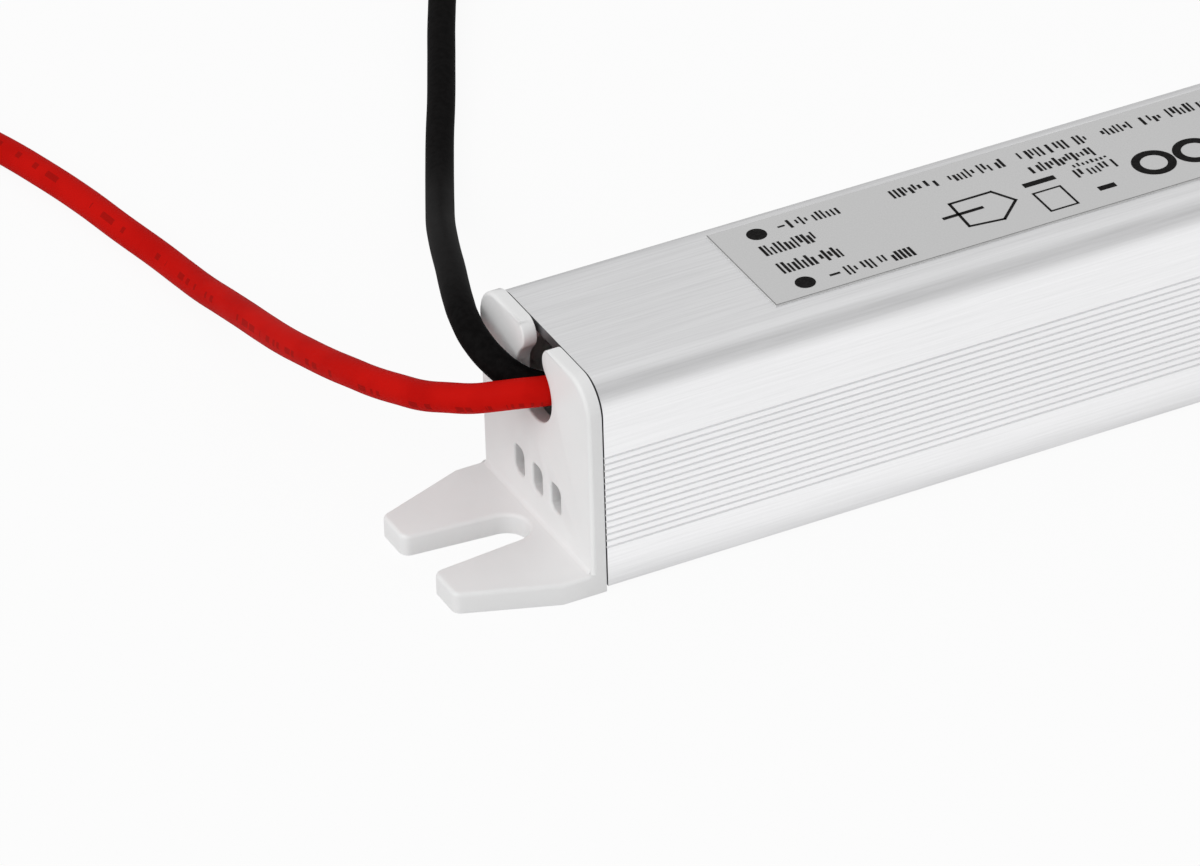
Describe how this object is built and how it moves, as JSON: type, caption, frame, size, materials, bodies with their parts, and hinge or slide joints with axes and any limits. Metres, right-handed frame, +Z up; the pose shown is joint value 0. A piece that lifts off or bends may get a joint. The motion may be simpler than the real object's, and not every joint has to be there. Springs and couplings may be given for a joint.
{
  "type": "led_driver",
  "caption": "Slim LED driver: grooved aluminium tube with white moulded end caps, forked mounting feet, a grey foil label and red and black output leads",
  "frame": {"origin": "middle of the underside, on the plane of the two mounting feet", "axes": "+X along the tube from the output end to the input end, +Z up from the mounting plane to the label"},
  "size_m": [0.2254, 0.1279, 0.0185],
  "materials": {
    "aluminium_extrusion": "fine matt anodised",
    "white_moulded_plastic": "satin",
    "label_foil": "satin silver-grey print",
    "insulating_film": "smooth film",
    "board_laminate": "solder resist",
    "tinned_metal": "bright tin",
    "copper": "enamelled wire",
    "ferrite": "sintered, matt",
    "capacitor_sleeve": "shrink sleeve",
    "black_epoxy": "moulded",
    "white_epoxy": "moulded",
    "winding_tape": "polyester tape",
    "blue_dip_coat": "dipped",
    "brown_dip_coat": "dipped",
    "yellow_box_plastic": "moulded",
    "resistor_lacquer": "lacquer",
    "fuse_ceramic": "glazed",
    "red_pvc": "soft PVC",
    "black_pvc": "soft PVC"
  },
  "bodies": {
    "root": {"housing": "aluminium_extrusion", "output_end_cap": "white_moulded_plastic", "input_end_cap": "white_moulded_plastic", "rating_label": "label_foil", "insulating_sheet": "insulating_film", "circuit_board": "board_laminate", "solder_joints": "tinned_metal", "lead_tails": "tinned_metal", "output_capacitor_a": "capacitor_sleeve", "output_capacitor_b": "capacitor_sleeve", "output_choke_core": "ferrite", "output_choke_winding": "copper", "output_rectifier": "black_epoxy", "optocoupler": "white_epoxy", "safety_capacitor": "blue_dip_coat", "transformer_core": "ferrite", "transformer_bobbin": "black_epoxy", "transformer_winding": "winding_tape", "controller_chip": "black_epoxy", "snubber_diode": "black_epoxy", "snubber_resistor": "resistor_lacquer", "snubber_capacitor": "brown_dip_coat", "bulk_capacitor": "capacitor_sleeve", "bridge_rectifier": "black_epoxy", "line_choke_core": "ferrite", "line_choke_windings": "copper", "line_capacitor": "yellow_box_plastic", "varistor": "blue_dip_coat", "thermistor": "black_epoxy", "fuse": "fuse_ceramic", "red_lead": "red_pvc", "red_lead_tip": "tinned_metal", "black_lead": "black_pvc", "black_lead_tip": "tinned_metal"}
  },
  "joints": []
}
